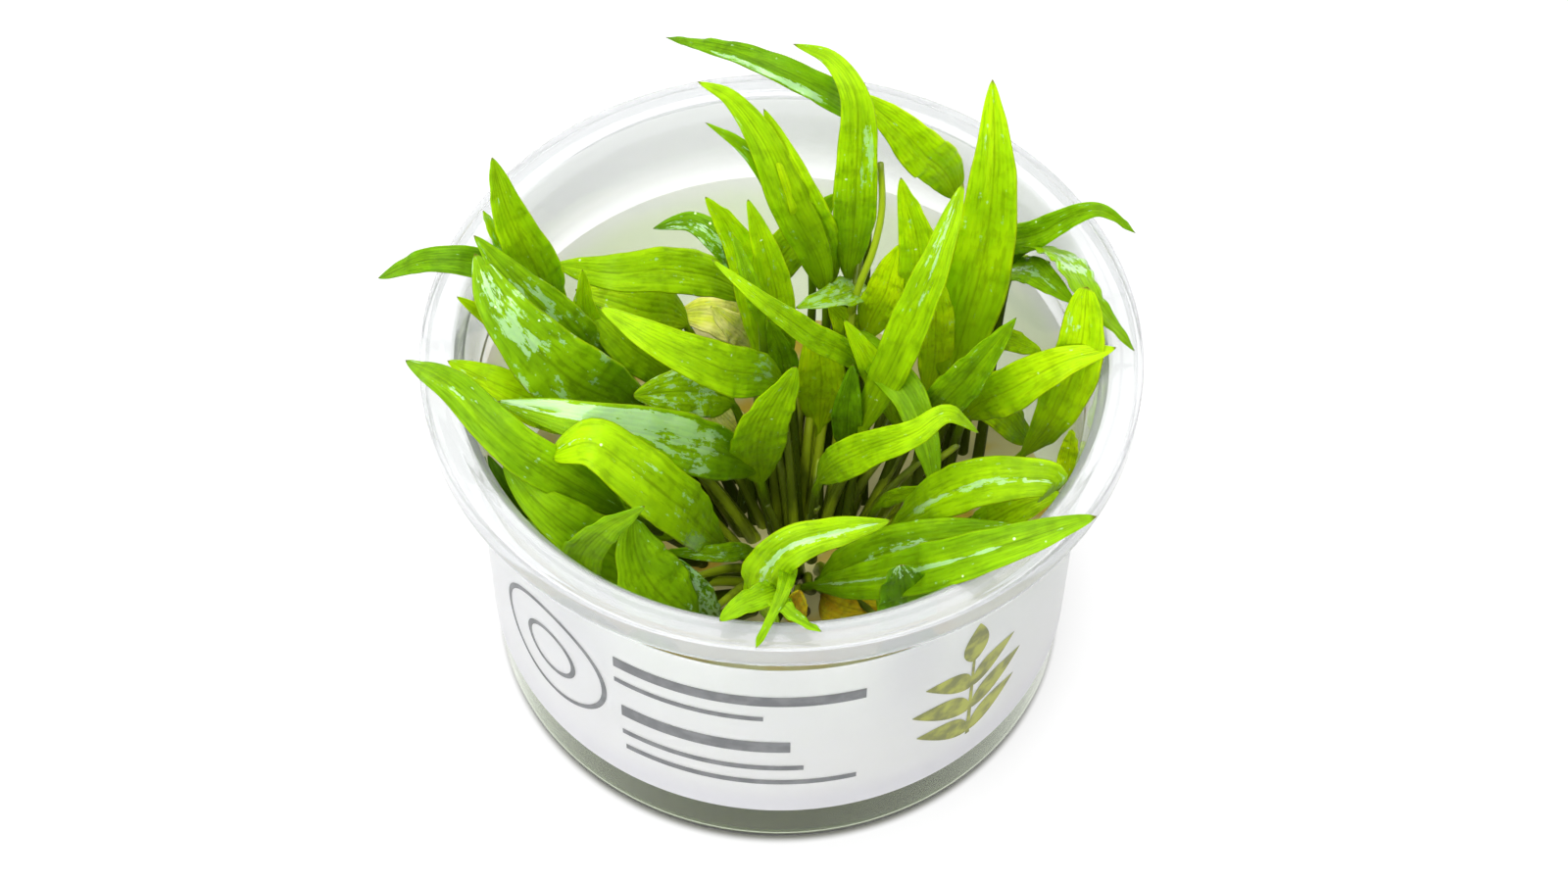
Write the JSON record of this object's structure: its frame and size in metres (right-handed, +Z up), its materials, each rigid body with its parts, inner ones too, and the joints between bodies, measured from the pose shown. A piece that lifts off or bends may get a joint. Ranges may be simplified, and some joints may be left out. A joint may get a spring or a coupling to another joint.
{
  "type": "tissue culture cryptocoryne wendtii",
  "caption": "In-vitro aquarium plant: a dense clump of slender green leaves that stands in clear gel in a round clear cup with a flange and a white paper label.",
  "frame": {"origin": "centre of the cup's flat base, on the surface it stands on", "axes": "+Z up along the cup's axis, -Y towards the front where the label is read, +X to the right"},
  "size_m": [0.1115, 0.1055, 0.104],
  "materials": {
    "clear_plastic": "clear moulded plastic, gloss",
    "label_paper": "smooth white satin paper with grey print",
    "nutrient_gel": "clear wet nutrient jelly with a green tint",
    "leaf_green": "wet waxy leaf, yellow-green to mid green, with fine veins",
    "leaf_pale": "pale yellowing leaf",
    "leaf_amber": "translucent amber decaying leaf"
  },
  "bodies": {
    "root": {"cup": "clear_plastic", "label": "label_paper", "gel": "nutrient_gel", "leaf_left_1": "leaf_green", "leaf_left_2": "leaf_green", "leaf_left_3": "leaf_green", "leaf_left_4": "leaf_green", "leaf_left_5": "leaf_green", "leaf_left_6": "leaf_green", "leaf_left_7": "leaf_green", "leaf_left_8": "leaf_green", "leaf_left_9": "leaf_green", "leaf_left_10": "leaf_green", "leaf_left_11": "leaf_green", "leaf_left_12": "leaf_green", "leaf_left_13": "leaf_green", "leaf_left_14": "leaf_green", "leaf_left_15": "leaf_green", "leaf_left_16": "leaf_green", "leaf_left_17": "leaf_green", "leaf_back_1": "leaf_green", "leaf_back_2": "leaf_green", "leaf_back_3": "leaf_pale", "leaf_back_4": "leaf_green", "leaf_back_5": "leaf_green", "leaf_back_6": "leaf_green", "leaf_back_7": "leaf_green", "leaf_back_8": "leaf_green", "leaf_back_9": "leaf_green", "leaf_back_10": "leaf_green", "leaf_back_11": "leaf_green", "leaf_back_12": "leaf_green", "leaf_back_13": "leaf_green", "leaf_middle_1": "leaf_green", "leaf_middle_2": "leaf_green", "leaf_middle_3": "leaf_green", "leaf_middle_4": "leaf_green", "leaf_middle_5": "leaf_green", "leaf_middle_6": "leaf_green", "leaf_middle_7": "leaf_green", "leaf_middle_8": "leaf_green", "leaf_middle_9": "leaf_green", "leaf_middle_10": "leaf_green", "leaf_middle_11": "leaf_green", "leaf_right_1": "leaf_green", "leaf_right_2": "leaf_green", "leaf_right_3": "leaf_green", "leaf_right_4": "leaf_green", "leaf_right_5": "leaf_green", "leaf_right_6": "leaf_green", "leaf_right_7": "leaf_green", "leaf_front_1": "leaf_green", "leaf_front_2": "leaf_green", "leaf_front_3": "leaf_green", "leaf_front_4": "leaf_green", "leaf_front_5": "leaf_green", "leaf_front_6": "leaf_green", "leaf_front_7": "leaf_green", "leaf_front_8": "leaf_amber", "leaf_front_9": "leaf_amber"}
  },
  "joints": []
}
